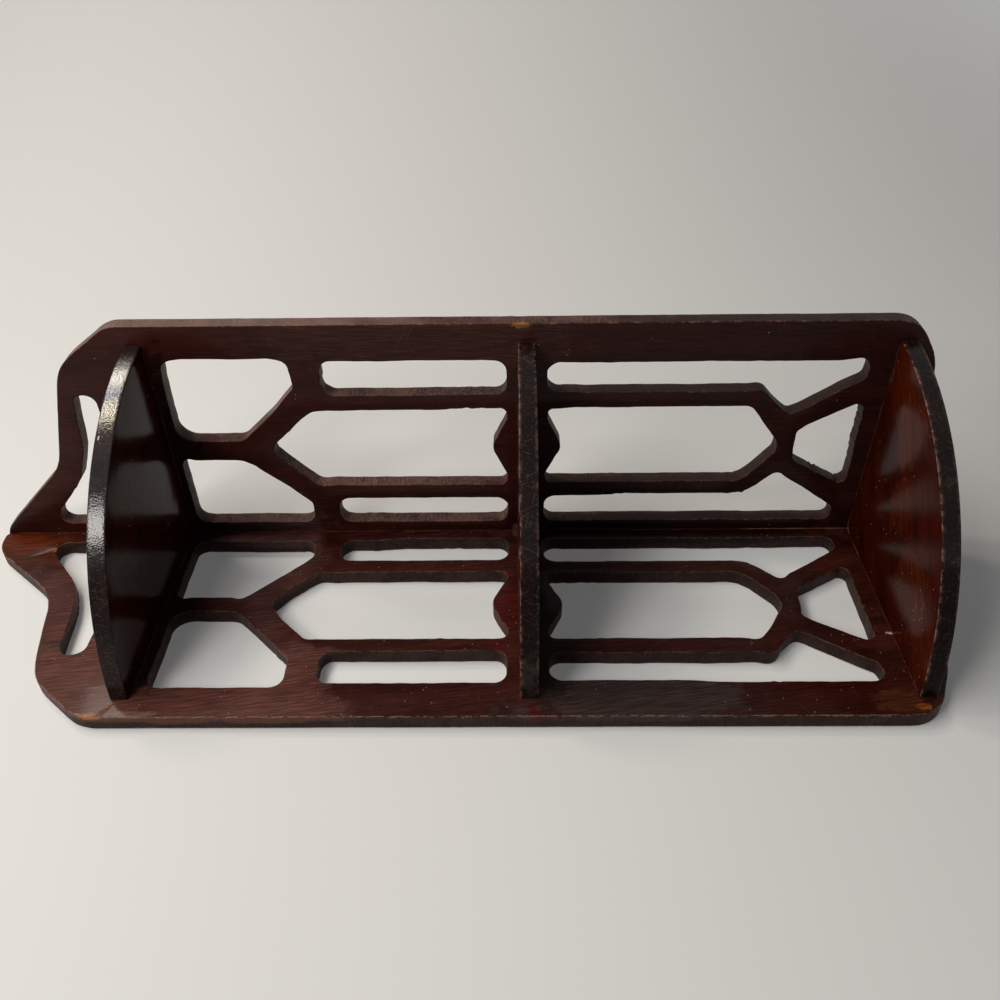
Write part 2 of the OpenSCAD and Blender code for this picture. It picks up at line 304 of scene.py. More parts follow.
def wood_left(point, strays):
    """Wood that the straying saw left beside the drawn line at a flat point of the board."""
    at = Vector((abs(point.x), point.y))
    left = 0.0
    for start, end, amount in (stretch for group in strays.values() for stretch in group):
        a, b = Vector(start) * MM, Vector(end) * MM
        length, along = (b - a).length, (b - a).normalized()
        run = (at - a).dot(along)
        beyond = max(0.0, -run, run - length)
        beside = (at - a - along * run).length
        far = math.hypot(beyond / STRAY_FADE, beside / STRAY_REACH)
        left += amount * MM * max(0.0, 1 - far * far) ** 2
    return left


def edge_rows(arris, thickness):
    """Inset, depth and wear of each row of points round a sawn edge, from front to back."""
    turn = [(arris * (1 - math.sin(a)), arris * (1 - math.cos(a)), worn)
            for a, worn in ARRIS_TURNS]
    edge = [(0, thickness * share, 0.0) for share in EDGE_SHARES]
    return turn + edge + [(inset, thickness - depth, worn) for inset, depth, worn in reversed(turn)]


def knock_chips(bm):
    """Pushes the arris into the wood where a chip is missing."""
    for vertex in bm.verts:
        for centre, half in CHIPS:
            away = vertex.co - centre
            far = Vector([away[i] / half[i] for i in range(3)]).length
            if 0 < far < 1:
                bite = (1 - far * far) * (0.8 + 0.5 * noise.noise(vertex.co / CHIP_GRAIN))
                for axis in (ACROSS_X, ACROSS_Y):
                    inward = -1 if centre[axis] > 0 else 1
                    vertex.co[axis] += inward * CHIP_BITE * bite


def strips(bm, rings, place_of_row):
    """Strips of faces between each ring of points and the next one."""
    for row, (a, b) in enumerate(zip(rings, rings[1:])):
        for (a0, a1), (b0, b1) in zip(pairs(a), pairs(b)):
            face = bm.faces.new((a0, a1, b1, b0))
            face.smooth = True
            face.material_index = place_of_row(row)


def rim_edges(bm, ring):
    """The edges between neighbours on a ring of points."""
    return [bm.edges.get((a, b)) for a, b in pairs(ring)]


def board(name, node, axis, front, back, arris, wander, seed, strays=None, step=PANEL_STEP):
    """A sawn board with eased arrises around the outline of the frame's node.

    front and back are the levels of its faces, and arris holds the radius on the outline and
    that on the openings. wander is the share of the saw's small wander, and strays are the
    stretches where it left its line.
    """
    strays = strays or {}
    bm = bmesh.new()
    wear = bm.verts.layers.float.new("arris")
    inward = 1 if back > front else -1
    thickness = abs(back - front)
    rims = {front: [], back: []}
    loops = [loop for loop in flat_loops(node, axis, front) if girth(loop) > DRILLED_LOOP]
    outline = max(loops, key=lambda loop: abs(area(loop)))
    torn = [(flat(centre, axis), radius) for centre, radius in TORN_PLACES
            if abs(centre[axis] - front) < MM]
    for loop in loops:
        is_outline = loop is outline
        rows = edge_rows(arris[0 if is_outline else 1], thickness)
        sawn_rows = range(ARRIS_ROWS, len(rows) - ARRIS_ROWS - 1)
        loop = close_points(loop, step)
        if (area(loop) > 0) != is_outline:
            loop.reverse()
        normals = away_from_wood(loop)
        strayed = [wood_left(point, strays) for point in loop]
        rings = []
        for inset, depth, worn in rows:
            ring = []
            for point, normal, left in zip(loop, normals, strayed):
                slip = wander * saw_wander(point, depth, seed, torn)
                if is_outline:
                    slip = min(0.0, OUTLINE_CALM * slip - OUTLINE_SANDING * wander)
                vertex = bm.verts.new(stand(point + normal * (slip + left - inset), axis,
                                            front + inward * depth))
                vertex[wear] = worn * (1.0 if is_outline else OPENING_WEAR)
                ring.append(vertex)
            rings.append(ring)
        strips(bm, rings, lambda row: SAWN if row in sawn_rows else FACE)
        rims[front] += rim_edges(bm, rings[0])
        rims[back] += rim_edges(bm, rings[-1])

    for loop in flat_loops(node, axis, back):
        if girth(loop) > DRILLED_LOOP:
            continue
        rings = [[bm.verts.new(stand(p, axis, level)) for p in ring]
                 for ring, level in recess_rings(loop, axis, back, inward)]
        strips(bm, rings, lambda row: SAWN)
        bm.faces.new(rings[-1]).material_index = SAWN
        rims[back] += rim_edges(bm, rings[0])

    for edges in rims.values():
        made = bmesh.ops.triangle_fill(bm, edges=edges, use_beauty=True)
        for item in made["geom"]:
            if isinstance(item, bmesh.types.BMFace):
                item.smooth = False
    knock_chips(bm)
    bmesh.ops.recalc_face_normals(bm, faces=bm.faces)
    return object_of(name, bm)


def recess_rings(loop, axis, back, inward):
    """Rings that go down into a countersink, or into a keyhole slot with its undercut."""
    if girth(loop) < SCREW_LOOP:
        centre = sum(loop, Vector((0, 0))) / len(loop)
        floor = [centre + (p - centre) * COUNTERSINK_SHARE for p in loop]
        return [(loop, back), (floor, back - inward * COUNTERSINK_DEPTH)]
    entry = min((flat(keyhole, axis) for keyhole in KEYHOLES),
                key=lambda middle: (middle - loop[0]).length)
    widening = KEYHOLE_ENTRY / KEYHOLE_NECK
    undercut = []
    for p in loop:
        away = p - entry
        if abs(away.x) < KEYHOLE_NECK * KEYHOLE_SLACK and away.y > 0:
            away.x *= widening
            past_rise = away.y > KEYHOLE_RISE
            away.y = KEYHOLE_RISE + (away.y - KEYHOLE_RISE) * (widening if past_rise else 1)
        undercut.append(entry + away)
    lip, floor = back - inward * KEYHOLE_LIP, back - inward * KEYHOLE_DEPTH
    return [(loop, back), (loop, lip), (undercut, lip), (undercut, floor)]


# Wiring of materials and of geometry trees

# How ragged the rim of a mark is, where it begins and ends, and how fine its tears are
SOFT_RIM = (0.5, 0.75, 1.15)
CRISP_RIM = (0.9, 0.92, 1.02)
RIM_TEARS = 1.6


class Bench:
    """Puts nodes into a tree; an input may be a constant or another node's socket."""

    def __init__(self, tree):
        self.tree = tree

    def put(self, kind, inputs, **settings):
        node = self.tree.nodes.new(kind)
        for key, value in settings.items():
            setattr(node, key, value)
        for key, value in inputs.items():
            socket = node.inputs[key]
            for part in value if isinstance(value, list) else [value]:
                if isinstance(part, bpy.types.NodeSocket):
                    self.tree.links.new(part, socket)
                else:
                    socket.default_value = part
        return node

    def out(self, kind, inputs, **settings):
        """The first output of a new node."""
        return self.put(kind, inputs, **settings).outputs[0]

    def maths(self, operation, a, b):
        return self.out("ShaderNodeMath", {0: a, 1: b}, operation=operation)

    def times(self, a, b):
        return self.maths("MULTIPLY", a, b)

    def plus(self, a, b):
        return self.maths("ADD", a, b)

    def minus(self, a, b):
        return self.maths("SUBTRACT", a, b)

    def strongest(self, masks):
        """The highest of several masks at each place."""
        found = masks[0]
        for mask in masks[1:]:
            found = self.maths("MAXIMUM", found, mask)
        return found

    def noise(self, vector, scale, detail=2.0, roughness=0.5):
        return self.out("ShaderNodeTexNoise", {"Vector": vector, "Scale": scale, "Detail": detail,
                                               "Roughness": roughness})

    def between(self, value, low, high, to_low=0.0, to_high=1.0):
        """A soft step of the value from one range to the other."""
        return self.out("ShaderNodeMapRange", {0: value, 1: low, 2: high, 3: to_low, 4: to_high},
                        interpolation_type="SMOOTHSTEP")


class Wiring(Bench):
    """A material's node tree; its place is the object's own, in millimetres."""

    def __init__(self, name):
        self.material = bpy.data.materials.new(name)
        self.material.use_nodes = True
        super().__init__(self.material.node_tree)
        self.tree.nodes.clear()
        self.place = self.scaled(self.put("ShaderNodeTexCoord", {}).outputs["Object"],
                                 (1 / MM, 1 / MM, 1 / MM))

    def scaled(self, vector, scale):
        return self.out("ShaderNodeVectorMath", {0: vector, 1: scale}, operation="MULTIPLY")

    def turned(self, angles):
        """The place, turned so that the grain runs along Z."""
        return self.out("ShaderNodeMapping", {"Vector": self.place, "Rotation": angles},
                        vector_type="TEXTURE")

    def grain(self, place, pattern, detail, roughness=0.5):
        """Noise that is stretched by a pattern's three rates of change."""
        return self.noise(self.scaled(place, pattern), 1.0, detail, roughness)

    def mix(self, share, a, b):
        return self.put("ShaderNodeMix", {0: share, 6: a, 7: b}, data_type="RGBA").outputs[2]

    def laid(self, colour, tone, mask, strength):
        """The colour with a tone laid over it where the mask is."""
        return self.mix(self.times(mask, strength), colour, tone)

    def bump(self, height, strength, distance, **below):
        return self.out("ShaderNodeBump", {"Height": height, "Strength": strength,
                                           "Distance": distance, **below})

    def arris(self):
        """How much each place belongs to an eased arris."""
        return self.put("ShaderNodeAttribute", {}, attribute_name="arris").outputs["Fac"]

    def near(self, centre, half, rim=SOFT_RIM):
        """1 inside an ellipsoid in millimetres, 0 outside; its rim is ragged to suit its size."""
        ragged, low, high = rim
        away = self.out("ShaderNodeVectorMath", {0: self.place, 1: centre},
                        operation="SUBTRACT")
        far = self.put("ShaderNodeVectorMath", {0: self.scaled(away, tuple(1 / h for h in half))},
                       operation="LENGTH").outputs["Value"]
        tears = self.noise(self.place, RIM_TEARS / sorted(half)[1], 3.0, 0.6)
        stray = self.between(tears, 0.3, 0.7, -ragged / 2, ragged / 2)
        return self.between(self.plus(far, stray), low, high, 1.0, 0.0)

    def marked(self, colour, marks):
        """The colour with soft marks laid over it."""
        for centre, half, tone, strength in marks:
            colour = self.laid(colour, tone, self.near(centre, half), strength)
        return colour

    def finish(self, shader):
        self.put("ShaderNodeOutputMaterial", {0: shader})
        return self.material

    def surface(self, inputs):
        """The finished material with a principled surface."""
        return self.finish(self.out("ShaderNodeBsdfPrincipled", inputs))


def rgb(r, g, b):
    return (r, g, b, 1.0)


def darker(tone, share):
    return rgb(*[part * share for part in tone[:3]])


# Marks on the shelf: centre and half sizes in millimetres, colour, strength. Marks of full
# strength are bare wood or crumbs on the varnish, and have crisp rims on the faces. Some of the
# weaker marks are painted shade, painted sheen and painted highlights, as said where they stand.
BARE_WOOD = rgb(0.42, 0.17, 0.035)
CREAM = rgb(0.62, 0.52, 0.42)
LEFT_MARKS = [
    ((10, -170.5, 502), (2.2, 2.6, 8), BARE_WOOD, 1.0),
    ((10, -28.5, 573), (1.5, 2.4, 2.2), BARE_WOOD, 1.0),
    ((10, -164.5, 26.4), (2, 2.2, 4.6), rgb(0.36, 0.085, 0.016), 0.9),
    ((10, -108.5, 28), (2, 1, 2.6), CREAM, 1.0),
    ((10, -24, 592), (6, 24, 34), rgb(0.105, 0.020, 0.006), 0.55),
    ((10, -20, 597), (6, 12, 18), rgb(0.135, 0.021, 0.004), 0.6),
    # Painted highlight: a pale streak along the front arris by the top shelf's end, where the window's
    # gloss shines.
    ((10, -168.5, 485), (3, 2.4, 24), rgb(0.36, 0.28, 0.25), 0.25),
    # Painted sheen: the next two lighten the left panel near the top shelf's front end and at the
    # crest, where the window lamp's sheen falls.
    ((10, -150, 470), (6, 50, 110), rgb(0.22, 0.088, 0.068), 0.42),
    ((10, -80, 545), (6, 45, 50), rgb(0.18, 0.066, 0.052), 0.32),
    ((10, -88, 268), (6, 34, 13), rgb(0.085, 0.008, 0.006), 0.7),
    ((10, -164, 242), (6, 9, 16), rgb(0.085, 0.008, 0.006), 0.6),
    # Painted sheen: a greyish patch on the front rail below the middle shelf.
    ((10, -158, 190), (6, 24, 72), rgb(0.052, 0.043, 0.038), 0.6),
    ((10, -150, 85), (6, 36, 46), rgb(0.030, 0.0035, 0.0014), 0.6),
    ((10, -160, 39), (6, 9, 15), rgb(0.11, 0.032, 0.010), 0.5),
    ((10, -12, 257), (3, 4.5, 2.6), rgb(0.20, 0.105, 0.085), 0.4),
    # Painted shade: the next three darken the face by the spine below the middle shelf, under the top
    # shelf and under the middle shelf, where the shelves' shadows fall.
    ((10, -16, 150), (6, 25, 125), rgb(0.004, 0.0015, 0.001), 0.7),
    ((10, -80, 474), (6, 72, 12), rgb(0.005, 0.0018, 0.0012), 0.6),
    ((10, -105, 236), (6, 64, 12), rgb(0.004, 0.002, 0.0015), 0.6),
    # Painted sheen: a light haze in the upper bay by the spine.
    ((10, -30, 420), (6, 72, 36), rgb(0.12, 0.052, 0.045), 0.35),
    # Painted shade: the middle of the lower bay made darker.
    ((10, -82, 110), (6, 48, 80), rgb(0.014, 0.007, 0.006), 0.4),
]
RIGHT_MARKS = [
    ((170, -10, 253.5), (2.6, 2.2, 5.2), BARE_WOOD, 1.0),
    ((60, -10, 470), (100, 8, 26), rgb(0.05, 0.006, 0.003), 0.45),
    # Painted shade: the lower half of the right panel made darker, towards the foot where less light
    # reaches.
    ((95, -10, 120), (120, 8, 150), rgb(0.024, 0.0085, 0.007), 0.5),
    ((75, -10, 266), (40, 8, 12), rgb(0.055, 0.006, 0.004), 0.5),
    # Painted shade: the next two darken the face by the spine below the middle shelf, where its shadow
    # falls, and under the top shelf.
    ((20, -10, 150), (30, 8, 125), rgb(0.004, 0.0015, 0.001), 0.6),
    ((70, -10, 474), (80, 8, 13), rgb(0.005, 0.0018, 0.0012), 0.7),
    # Painted sheen: a light haze by the spine in the upper bay.
    ((15, -10, 425), (14, 8, 40), rgb(0.10, 0.055, 0.055), 0.4),
    ((12, -10, 257), (4.5, 3, 2.6), rgb(0.20, 0.105, 0.085), 0.4),
    ((160, -10, 320), (22, 8, 95), rgb(0.10, 0.038, 0.030), 0.35),
]
# Painted light and shade on the right panel's sawn edges: the first lightens the outer edge and the
# walls near it in the upper half, which face up towards the lamps, and the second darkens the edges
# and walls of the lower half, which lie in shade.
RIGHT_EDGE_PAINTED_LIGHT_AND_SHADE = [
    ((180, -5, 480), (85, 30, 150), rgb(0.30, 0.20, 0.175), 0.28),
    ((100, -5, 60), (140, 30, 200), rgb(0.018, 0.008, 0.0065), 0.7),
]
SHELF_MARKS = [
    ((11, -11, 27), (2, 2, 1.6), rgb(0.35, 0.14, 0.03), 0.9),
    ((138, -77.3, 490.3), (1, 1.7, 0.45), CREAM, 1.0),
    ((111.5, -131.8, 23), (3, 3, 3.5), rgb(0.20, 0.17, 0.16), 0.6),
    ((89.7, -146.2, 23), (3, 3, 3.5), rgb(0.20, 0.17, 0.16), 0.6),
    ((134, -12, 26.5), (5.5, 2.4, 1.5), rgb(0.12, 0.055, 0.040), 0.6),
]

# Marks on the bowed edges, some of them painted highlights, painted light on the bottom shelf's
# top, and the place where the coat on the bowed edges is thin
# The first two paint highlights on the ends of the top and middle bows by the right panel, where that
# panel shades them from the lamps; they read as rubbed wood too.
BOW_WEAR_AND_PAINTED_HIGHLIGHTS = [
    ((148, -14, 487), (8, 17, 8), rgb(0.19, 0.14, 0.12), 0.6),
    ((148, -20, 250), (8, 14, 8), rgb(0.10, 0.085, 0.075), 0.6),
    ((20, -150, 250), (20, 8, 8), rgb(0.045, 0.034, 0.03), 0.5),
]
# Painted light: redder patches on the bottom shelf's top where it catches light through the openings
# and reflections.
SHELF_PAINTED_LIGHT = [
    ((30, -140, 26.5), (22, 24, 4), rgb(0.12, 0.018, 0.002), 0.3),
    ((140, -28, 26.5), (24, 22, 4), rgb(0.12, 0.018, 0.002), 0.3),
    ((122, -54, 26.5), (24, 18, 4), rgb(0.115, 0.020, 0.0045), 0.5),
    ((80, -70, 26.5), (20, 14, 4), rgb(0.105, 0.015, 0.003), 0.45),
    ((50, -112, 26.5), (26, 22, 4), rgb(0.105, 0.017, 0.004), 0.5),
]
THIN_VARNISH = ((45, -150, 300), (62, 45, 600))

# Grain of the wood and waves of the varnish: how quickly each pattern changes for each
# millimetre, twice across the fibres and once along them
RIBBONS = (0.07, 0.07, 0.006)
FIBRES = (1.1, 1.1, 0.05)
SILK = (3.4, 3.4, 0.16)
PORES = (2.4, 2.4, 0.2)
LONG_WAVES = (0.06, 0.06, 0.03)
SHORT_WAVES = (0.9, 0.9, 0.12)

# Turns of the grain: straight up a panel, slanted on a panel, and along a shelf's chord
UPRIGHT = (0.0, 0.0, 0.0)
SLANTED = (0.16, 0.0, 0.0)
ALONG_CHORD = (math.pi / 2, 0.0, -math.pi / 4)

# Dust and hairlines on the varnish, rubbed wood, and the spacing of the dust in millimetres
DUST_TONE = rgb(0.34, 0.22, 0.17)
HAIR_TONE = rgb(0.26, 0.17, 0.14)
RUBBED_FACE = rgb(0.17, 0.09, 0.065)
RUBBED_SAWN = rgb(0.20, 0.12, 0.095)
RUBBED_BOW = rgb(0.24, 0.135, 0.105)
FLECK_SPACING = 3.4

WOOD_IOR, VARNISH_IOR = 1.45, 1.5


def scratches(w, place, facing, spread, fine=1.5):
    """Straight hairlines in drifts; they turn about the axis that the surface faces."""
    lines = []
    for angle, seed in ((0.3, 3.0), (1.1, 11.0), (1.9, 23.0), (2.7, 31.0)):
        turn = [0.0, 0.0, 0.0]
        turn[facing] = angle
        along = w.out("ShaderNodeMapping", {"Vector": place, "Location": (seed, seed, seed),
                                            "Rotation": tuple(turn)})
        line = w.between(w.grain(along, (fine, fine, 0.03), 1.0), 0.66, 0.74)
        drift = w.between(w.noise(along, 0.05, 1.0), spread, spread + 0.1)
        lines.append(w.times(line, drift))
    return w.strongest(lines)


def specks(w, place, share):
    """Small dots, a few of them in each square, in drifts."""
    dots = w.put("ShaderNodeTexVoronoi", {"Vector": place, "Scale": 1 / FLECK_SPACING}, feature="F1")
    tiny = w.between(dots.outputs["Distance"], 0.08, 0.18, 1.0, 0.0)
    draw = w.out("ShaderNodeSeparateColor", {0: dots.outputs["Color"]})
    drift = w.between(w.noise(place, 0.035, 2.0), 0.45, 0.7, 0.1 * share, 2 * share)
    return w.times(tiny, w.maths("LESS_THAN", draw, drift))


def rubbed_arris(w, place, low, high):
    """Rubbed places along the arrises; they begin at the low limit and are full at the high one."""
    return w.times(w.arris(), w.between(w.noise(place, 0.22, 4.0, 0.7), low, high))


def varnished_mahogany(name, turn, facing, tones, marks, coat, gloss, coat_roughness=0.12,
                       dull=0.36, dust=0.08, worn=(0.48, 0.66), worn_tone=RUBBED_FACE):
    """Dark stained mahogany under varnish: ribbon figure, fibres, pores, specks, wear, and marks, some
    of which are painted shade and painted sheen.

    coat and gloss are the strengths of the varnish and of the wood's own shine, dull is the
    wood's roughness, and worn says where the rubbing of the arrises begins and is full.
    """
    w = Wiring(name)
    place = w.turned(turn)
    dark, red, bright = (rgb(*tone) for tone in tones)
    ribbons = w.grain(place, RIBBONS, 3.0, 0.55)
    fibres = w.grain(place, FIBRES, 4.0, 0.65)
    silk = w.grain(place, SILK, 2.0)
    pores = w.between(w.grain(place, PORES, 1.0), 0.6, 0.72)
    clouds = w.noise(place, 0.02, 3.0, 0.6)
    colour = w.mix(w.between(ribbons, 0.35, 0.65), dark, red)
    colour = w.mix(w.between(fibres, 0.46, 0.72, 0.0, 0.85), colour, bright)
    colour = w.mix(w.between(silk, 0.5, 0.3, 0.0, 0.5), colour, dark)
    colour = w.mix(w.between(clouds, 0.42, 0.72, 0.0, 0.6), colour, dark)
    colour = w.laid(colour, darker(dark, 0.3), pores, 0.7)
    bare = []
    for centre, half, tone, strength in marks:
        is_bare = strength == 1.0
        spot = w.near(centre, half, CRISP_RIM if is_bare else SOFT_RIM)
        fibred = w.mix(w.between(fibres, 0.4, 0.6), darker(tone, 0.4), tone)
        colour = w.laid(colour, fibred, spot, strength)
        if is_bare:
            bare.append(spot)
    rubbed = rubbed_arris(w, place, *worn)
    colour = w.laid(colour, worn_tone, rubbed, 0.85)
    flecks = specks(w, place, dust)
    colour = w.laid(colour, DUST_TONE, flecks, 0.6)
    hairs = scratches(w, place, facing, 0.62)
    colour = w.laid(colour, HAIR_TONE, hairs, 0.1)
    relief = w.plus(w.times(fibres, 0.5), w.times(silk, 0.35))
    relief = w.minus(relief, w.times(w.plus(pores, hairs), 0.4))
    fine = w.bump(flecks, 0.4, 0.2 * MM, Normal=w.bump(relief, 0.15, 0.25 * MM))
    waves = w.plus(w.grain(place, LONG_WAVES, 2.0), w.times(w.grain(place, SHORT_WAVES, 1.0), 0.05))
    rough = w.between(silk, 0.3, 0.7, dull - 0.07, dull + 0.07)
    rough = w.plus(rough, w.times(w.strongest(bare + [rubbed]), 0.3))
    return w.surface({
        "Base Color": colour, "Roughness": rough, "Normal": fine, "IOR": WOOD_IOR,
        "Specular IOR Level": gloss, "Coat Weight": coat, "Coat Roughness": coat_roughness,
        "Coat IOR": VARNISH_IOR, "Coat Normal": w.bump(waves, 0.5, 0.4 * MM)})


def sawn_mahogany(name, across, tones, marks):
    """Sawn and stained edge wood: saw ticks across the board, dry speckled places, dark patches, and
    marks, some of which are painted light and shade.
    """
    w = Wiring(name)
    place = w.place
    dark, plain, pale = (rgb(*tone) for tone in tones)
    stretch = [1.7, 1.7, 1.7]
    stretch[across] = 0.14
    ticks = w.grain(place, tuple(stretch), 2.0, 0.6)
    broad = w.noise(place, 0.06, 3.0, 0.6)
    dry = w.noise(place, 0.8, 4.0, 0.75)
    colour = w.mix(w.between(broad, 0.35, 0.65), dark, plain)
    colour = w.mix(w.between(dry, 0.42, 0.7, 0.0, 0.65), colour, pale)
    colour = w.mix(w.between(ticks, 0.48, 0.64, 0.0, 0.65), colour, dark)
    colour = w.marked(colour, marks)
    colour = w.laid(colour, RUBBED_SAWN, rubbed_arris(w, place, 0.46, 0.64), 0.8)
    relief = w.plus(ticks, w.times(dry, 0.5))
    return w.surface({
        "Base Color": colour, "Roughness": w.between(dry, 0.3, 0.7, 0.45, 0.66),
        "Normal": w.bump(relief, 0.6, 0.3 * MM), "IOR": WOOD_IOR, "Specular IOR Level": 0.12,
        "Coat Weight": 0.06, "Coat Roughness": 0.22})


def pitted_varnish_edge(name, tones, coat, worn_from):
    """The shelves' bowed edges: nearly black, thick pitted varnish, grey scuffs and hairlines, and
    painted highlights at their ends by the right panel.
    """
    w = Wiring(name)
    place = w.turned(ALONG_CHORD)
    dark, plain, scuff = (rgb(*tone) for tone in tones)
    pits = w.noise(place, 1.0, 1.5, 0.6)
    clouds = w.noise(place, 0.05, 3.0, 0.6)
    crumbs = w.noise(place, 0.5, 4.0, 0.75)
    worn = w.times(w.between(clouds, 0.58, 0.7), w.between(crumbs, 0.5, 0.62))
    colour = w.mix(w.between(clouds, 0.35, 0.6), dark, plain)
    colour = w.laid(colour, scuff, worn, 0.3)
    colour = w.marked(colour, SHELF_MARKS + BOW_WEAR_AND_PAINTED_HIGHLIGHTS)
    hairs = scratches(w, place, ACROSS_X, 0.36, fine=1.6)
    colour = w.laid(colour, scuff, hairs, 0.34)
    rubbed = rubbed_arris(w, place, worn_from, worn_from + 0.16)
    colour = w.laid(colour, RUBBED_BOW, rubbed, 0.6)
    thick = w.minus(1.0, w.times(w.near(*THIN_VARNISH), 0.85))
    rough = w.plus(w.between(crumbs, 0.3, 0.7, 0.3, 0.5), w.times(worn, 0.2))
    return w.surface({
        "Base Color": colour, "Roughness": rough, "Specular IOR Level": 0.08, "IOR": WOOD_IOR,
        "Normal": w.bump(w.plus(pits, worn), 0.4, 0.3 * MM),
        "Coat Weight": w.times(thick, coat), "Coat Roughness": 0.045, "Coat IOR": VARNISH_IOR,
        "Coat Normal": w.bump(pits, 0.65, 0.16 * MM)})


def screw_metal():
    """Brushed steel with brown stains."""
    w = Wiring("tarnished_screw_steel")
    stain = w.noise(w.place, 0.6, 4.0, 0.7)
    brushed = w.noise(w.place, 3.0, 2.0)
    colour = w.mix(w.between(stain, 0.4, 0.7), rgb(0.42, 0.4, 0.37), rgb(0.16, 0.12, 0.09))
    return w.surface({
        "Base Color": colour, "Metallic": 1.0, "Roughness": w.between(stain, 0.3, 0.7, 0.3, 0.6),
        "Normal": w.bump(brushed, 0.3, 0.05 * MM)})


def glue_bead_finish():
    """Old glue in the joints, stained over nearly everywhere, with a few pale crumbs left."""
    w = Wiring("stained_joint_glue")
    crumbs = w.between(w.noise(w.place, 0.35, 3.0, 0.7), 0.6, 0.74)
    tone = w.mix(w.between(w.noise(w.place, 0.08, 2.0), 0.4, 0.6),
                 rgb(0.030, 0.007, 0.004), rgb(0.075, 0.022, 0.012))
    tone = w.laid(tone, rgb(0.26, 0.15, 0.095), w.near((12, -12, 55), (6, 6, 46)), 0.5)
    return w.surface({
        "Base Color": w.mix(crumbs, tone, rgb(0.24, 0.13, 0.09)), "Roughness": 0.5,
        "Normal": w.bump(w.noise(w.place, 1.4, 2.0), 0.5, 0.2 * MM),
        "Specular IOR Level": 0.15})


# Screws and glue beads

# Screws: sizes, sides of their round parts, slot as shares of the head, and thread, whose core,
# length and foot are shares of the shank
SCREW_SIZES = {"Head radius": 3.4 * MM, "Shank radius": 1.75 * MM, "Head height": 1.65 * MM,
               "Length": 29.5 * MM, "Point length": 4 * MM, "Slot width": 0.9 * MM}
SCREW_SIDES = 28
SLOT_LENGTH, SLOT_HEIGHT = 2.4, 1.1
THREAD_TURNS, THREAD_POINTS, THREAD_WIRE = 9.0, 12, 0.3 * MM
THREAD_CORE, THREAD_LENGTH, THREAD_FOOT = 0.7, 0.5, -0.93

# Depth of a screw's head under the back, and turns of the screws into the panels
HEAD_DEPTH = 0.15 * MM
INTO_LEFT, INTO_RIGHT = (0.0, -math.pi / 2, 0.0), (-math.pi / 2, 0.0, 0.0)

# Glue beads: sizes, sides, distance from the boards' faces, and how far they stop short of a
# board's end, of the foot and of the crest
BEAD_SIZES = {"Radius": 0.42 * MM, "Step": 1.5 * MM, "Thin": 0.35}
BEAD_SIDES, BEAD_LUMPS = 7, 90.0
BEAD_OFFSET = 0.12 * MM
SHORT_OF_END, SHORT_OF_FOOT, SHORT_OF_CREST = 3 * MM, 4 * MM, 8 * MM


class Recipe(Bench):
    """A geometry tree with named inputs, which are given by their kinds."""

    def __init__(self, name, **inputs):
        super().__init__(bpy.data.node_groups.new(name, "GeometryNodeTree"))
        new_socket = self.tree.interface.new_socket
        self.ids = {}
        for kind, labels in inputs.items():
            for label in labels:
                socket = new_socket(label, in_out="INPUT", socket_type="NodeSocket" + kind)
                self.ids[label] = socket.identifier
        new_socket("Geometry", in_out="OUTPUT", socket_type="NodeSocketGeometry")
        self.given = self.put("NodeGroupInput", {}).outputs

    def moved(self, geometry, along_z):
        lift = self.out("ShaderNodeCombineXYZ", {2: along_z})
        return self.out("GeometryNodeTransform", {0: geometry, "Translation": lift})

    def finish(self, geometry):
        real = self.out("GeometryNodeRealizeInstances", {0: geometry})
        dressed = self.out("GeometryNodeSetMaterial", {0: real, "Material": self.given["Finish"]})
        self.put("NodeGroupOutput", {0: dressed})
        return self

    def make(self, name, seeds, sizes):
        """The piece that the tree makes from a mesh of points or lines."""
        mesh = bpy.data.meshes.new(name + "_seeds")
        mesh.from_pydata(*seeds)
        holder = new_object(name + "_seeds", mesh)
        modifier = holder.modifiers.new("recipe", "NODES")
        modifier.node_group = self.tree
        for label, value in sizes.items():
            modifier[self.ids[label]] = value
        ready = holder.evaluated_get(bpy.context.evaluated_depsgraph_get())
        made = bpy.data.meshes.new_from_object(ready)
        holder.modifiers.clear()
        bpy.data.objects.remove(holder)
        bm = bmesh.new()
        bm.from_mesh(made)
        bmesh.ops.recalc_face_normals(bm, faces=bm.faces)
        bm.to_mesh(made)
        bm.free()
        made.set_sharp_from_angle(angle=PART_CREASE)
        return new_object(name, made)


